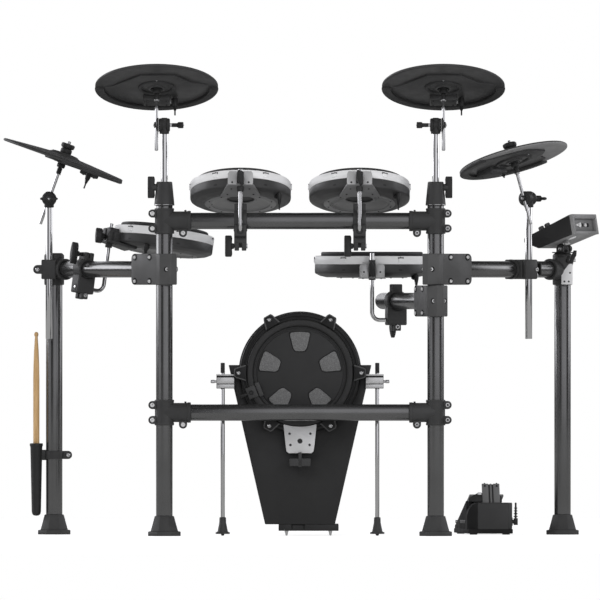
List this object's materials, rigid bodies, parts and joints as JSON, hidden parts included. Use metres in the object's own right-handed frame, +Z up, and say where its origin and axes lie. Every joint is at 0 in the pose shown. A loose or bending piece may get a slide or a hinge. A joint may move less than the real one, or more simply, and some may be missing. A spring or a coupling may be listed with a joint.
{
  "type": "electronic drum kit",
  "caption": "Electronic drum kit on a free-standing tubular rack, with pad drums, rubber cymbals on chrome booms, a kick tower, a foot controller and a sound module.",
  "frame": {"origin": "on the floor, at the middle of the foot under the front left post", "axes": "+X to the right as the audience sees the kit, +Y from the front posts towards the player, +Z up"},
  "size_m": [1.3796, 0.702, 1.0852],
  "materials": {
    "tube_metal": "satin charcoal enamel",
    "black_plastic": "matt moulded",
    "shell_plastic": "satin moulded",
    "dark_steel": "dull",
    "chrome": "polished",
    "plate_steel": "satin",
    "pad_rubber": "matt",
    "foot_rubber": "matt",
    "hoop_white": "satin white with a black rim",
    "mesh": "woven mesh",
    "foam": "open foam",
    "tower_paint": "satin black",
    "module_plastic": "satin",
    "screen": "gloss",
    "knob": "soft",
    "hickory": "lacquered"
  },
  "bodies": {
    "rack": {"front_posts": "tube_metal", "front_feet": "foot_rubber", "crossbars": "tube_metal", "tee_clamps": "black_plastic", "tee_clamp_bolts": "dark_steel", "mast_sleeves": "black_plastic"},
    "kick": {"kick_shell": "shell_plastic", "kick_hoops": "black_plastic", "kick_rear_panel": "shell_plastic", "kick_foam": "foam", "kick_head": "mesh", "kick_tower": "tower_paint", "kick_brackets": "plate_steel", "kick_pedal_plate": "tower_paint"},
    "kick_spur_left": {"kick_spur_left": "chrome"},
    "kick_spur_right": {"kick_spur_right": "chrome"},
    "hihat_pedal": {"hihat_pedal_base": "black_plastic"},
    "hihat_footboard": {"hihat_footboard": "tower_paint"},
    "left_arm": {"left_arm_clamp": "black_plastic", "left_arm_tubes": "tube_metal", "left_leg_tee": "black_plastic", "left_leg_foot": "foot_rubber", "stick_holder": "black_plastic"},
    "right_arm": {"right_arm_clamp": "black_plastic", "right_arm_tubes": "tube_metal", "right_leg_tee": "black_plastic", "right_leg_foot": "foot_rubber", "hihat_rod_clamp": "black_plastic", "module_bracket": "black_plastic"},
    "snare_arm": {"snare_arm_clamp": "black_plastic", "snare_arm_tube": "tube_metal"},
    "drumstick": {"drumstick": "hickory"},
    "module": {"module_case": "module_plastic", "module_screen": "screen"},
    "module_knob_front": {"module_knob_front": "knob"},
    "module_knob_rear": {"module_knob_rear": "knob"},
    "crash_left_mast": {"crash_left_mast": "chrome"},
    "crash_left_rod": {"crash_left_rod": "chrome"},
    "crash_left_pad": {"crash_left_pad": "pad_rubber"},
    "crash_right_mast": {"crash_right_mast": "chrome"},
    "crash_right_rod": {"crash_right_rod": "chrome"},
    "crash_right_pad": {"crash_right_pad": "pad_rubber"},
    "ride_mast": {"ride_mast": "chrome"},
    "ride_rod": {"ride_rod": "chrome"},
    "ride_pad": {"ride_pad": "pad_rubber"},
    "hihat_mast": {"hihat_mast": "chrome"},
    "hihat_rod": {"hihat_rod": "chrome"},
    "hihat_pad": {"hihat_pad": "pad_rubber"},
    "tom_left_mount": {"tom_left_mount": "black_plastic"},
    "tom_left_drum": {"tom_left_shell": "shell_plastic", "tom_left_head": "hoop_white"},
    "tom_right_mount": {"tom_right_mount": "black_plastic"},
    "tom_right_drum": {"tom_right_shell": "shell_plastic", "tom_right_head": "hoop_white"},
    "floor_tom_mount": {"floor_tom_mount": "black_plastic"},
    "floor_tom_drum": {"floor_tom_shell": "shell_plastic", "floor_tom_head": "hoop_white"},
    "snare_mount": {"snare_mount": "black_plastic"},
    "snare_drum": {"snare_shell": "shell_plastic", "snare_head": "hoop_white"}
  },
  "joints": [
    {"name": "left_arm_swing", "type": "hinge", "parent": "rack", "child": "left_arm", "pos_m": [0, 0, 0.6136], "axis": [0, 0, 1], "range_deg": [-10, 10]},
    {"name": "right_arm_swing", "type": "hinge", "parent": "rack", "child": "right_arm", "pos_m": [0.624, 0, 0.6136], "axis": [0, 0, 1], "range_deg": [-10, 10]},
    {"name": "snare_arm_swing", "type": "hinge", "parent": "rack", "child": "snare_arm", "pos_m": [0.624, 0, 0.5405], "axis": [0, 0, 1], "range_deg": [-8, 8]},
    {"name": "kick_place", "type": "slide", "parent": "rack", "child": "kick", "axis": [0, 1, 0], "range_m": [0, 0.12]},
    {"name": "kick_spur_left_height", "type": "slide", "parent": "kick", "child": "kick_spur_left", "axis": [0, 0, 1], "range_m": [0, 0.05]},
    {"name": "kick_spur_right_height", "type": "slide", "parent": "kick", "child": "kick_spur_right", "axis": [0, 0, 1], "range_m": [0, 0.05]},
    {"name": "hihat_pedal_place", "type": "slide", "parent": "rack", "child": "hihat_pedal", "axis": [0, 1, 0], "range_m": [0, 0.12]},
    {"name": "footboard_press", "type": "hinge", "parent": "hihat_pedal", "child": "hihat_footboard", "pos_m": [0.72253, 0.54814, 0.028], "axis": [0.9925, 0.1219, 0], "range_deg": [0, 9], "stiffness_Nm_per_rad": 6, "springref_deg": -17.19},
    {"name": "drumstick_lift", "type": "slide", "parent": "left_arm", "child": "drumstick", "axis": [0, 0, 1], "range_m": [0, 0.18]},
    {"name": "crash_left_height", "type": "slide", "parent": "rack", "child": "crash_left_mast", "axis": [0, 0, 1], "range_m": [-0.03, 0.2]},
    {"name": "crash_left_tilt", "type": "hinge", "parent": "crash_left_mast", "child": "crash_left_rod", "pos_m": [0, 0, 0.945], "axis": [1, 0, 0], "range_deg": [-15, 30]},
    {"name": "crash_left_rock", "type": "hinge", "parent": "crash_left_rod", "child": "crash_left_pad", "pos_m": [-0.018, 0.03249, 1.03427], "axis": [1, 0, 0], "range_deg": [-3.5, 3.5], "stiffness_Nm_per_rad": 6},
    {"name": "crash_right_height", "type": "slide", "parent": "rack", "child": "crash_right_mast", "axis": [0, 0, 1], "range_m": [-0.03, 0.2]},
    {"name": "crash_right_tilt", "type": "hinge", "parent": "crash_right_mast", "child": "crash_right_rod", "pos_m": [0.624, 0, 0.945], "axis": [-1, 0, 0], "range_deg": [-30, 15]},
    {"name": "crash_right_rock", "type": "hinge", "parent": "crash_right_rod", "child": "crash_right_pad", "pos_m": [0.642, 0.03249, 1.03427], "axis": [-1, 0, 0], "range_deg": [-3.5, 3.5], "stiffness_Nm_per_rad": 6},
    {"name": "ride_height", "type": "slide", "parent": "left_arm", "child": "ride_mast", "axis": [0, 0, 1], "range_m": [-0.04, 0.12]},
    {"name": "ride_tilt", "type": "hinge", "parent": "ride_mast", "child": "ride_rod", "pos_m": [-0.26863, 0.34836, 0.777], "axis": [0, 1, 0], "range_deg": [-30, 8]},
    {"name": "ride_rock", "type": "hinge", "parent": "ride_rod", "child": "ride_pad", "pos_m": [-0.23676, 0.36636, 0.8665], "axis": [0, 1, 0], "range_deg": [-3.5, 3.5], "stiffness_Nm_per_rad": 6},
    {"name": "hihat_height", "type": "slide", "parent": "right_arm", "child": "hihat_mast", "axis": [0, 0, 1], "range_m": [-0.06, 0.08]},
    {"name": "hihat_tilt", "type": "hinge", "parent": "hihat_mast", "child": "hihat_rod", "pos_m": [0.83994, 0.20912, 0.777], "axis": [0.6018, 0.7986, 0], "range_deg": [-15, 30]},
    {"name": "hihat_rock", "type": "hinge", "parent": "hihat_rod", "child": "hihat_pad", "pos_m": [0.80503, 0.21289, 0.86709], "axis": [0.6018, 0.7986, 0], "range_deg": [-3.5, 3.5], "stiffness_Nm_per_rad": 6},
    {"name": "tom_left_tilt", "type": "hinge", "parent": "rack", "child": "tom_left_mount", "pos_m": [0.175, 0, 0.7245], "axis": [1, 0, 0], "range_deg": [-8, 12]},
    {"name": "tom_left_height", "type": "slide", "parent": "tom_left_mount", "child": "tom_left_drum", "axis": [0, 0.2672, 0.9636], "range_m": [-0.015, 0.012]},
    {"name": "tom_right_tilt", "type": "hinge", "parent": "rack", "child": "tom_right_mount", "pos_m": [0.449, 0, 0.7245], "axis": [1, 0, 0], "range_deg": [-8, 12]},
    {"name": "tom_right_height", "type": "slide", "parent": "tom_right_mount", "child": "tom_right_drum", "axis": [0, 0.2672, 0.9636], "range_m": [-0.015, 0.012]},
    {"name": "floor_tom_tilt", "type": "hinge", "parent": "left_arm", "child": "floor_tom_mount", "pos_m": [-0.18509, 0.27441, 0.6136], "axis": [-0.5592, 0.829, 0], "range_deg": [-8, 8]},
    {"name": "floor_tom_height", "type": "slide", "parent": "floor_tom_mount", "child": "floor_tom_drum", "axis": [0.1225, 0.0827, 0.989], "range_m": [-0.015, 0.012]},
    {"name": "snare_tilt", "type": "hinge", "parent": "snare_arm", "child": "snare_mount", "pos_m": [0.53393, 0.33614, 0.5405], "axis": [0.2588, -0.9659, 0], "range_deg": [-6, 6]},
    {"name": "snare_height", "type": "slide", "parent": "snare_mount", "child": "snare_drum", "axis": [0, 0, 1], "range_m": [-0.015, 0.012]},
    {"name": "module_tilt", "type": "hinge", "parent": "right_arm", "child": "module", "pos_m": [0.91968, 0.35238, 0.6615], "axis": [0.3173, 0.9483, 0], "range_deg": [-15, 20]},
    {"name": "module_knob_front_turn", "type": "hinge", "parent": "module", "child": "module_knob_front", "pos_m": [0.87205, 0.2945, 0.70452], "axis": [-0.4226, 0.1414, 0.8952], "range_deg": [-140, 140]},
    {"name": "module_knob_rear_turn", "type": "hinge", "parent": "module", "child": "module_knob_rear", "pos_m": [0.88564, 0.28996, 0.71165], "axis": [-0.4226, 0.1414, 0.8952], "range_deg": [-140, 140]}
  ]
}
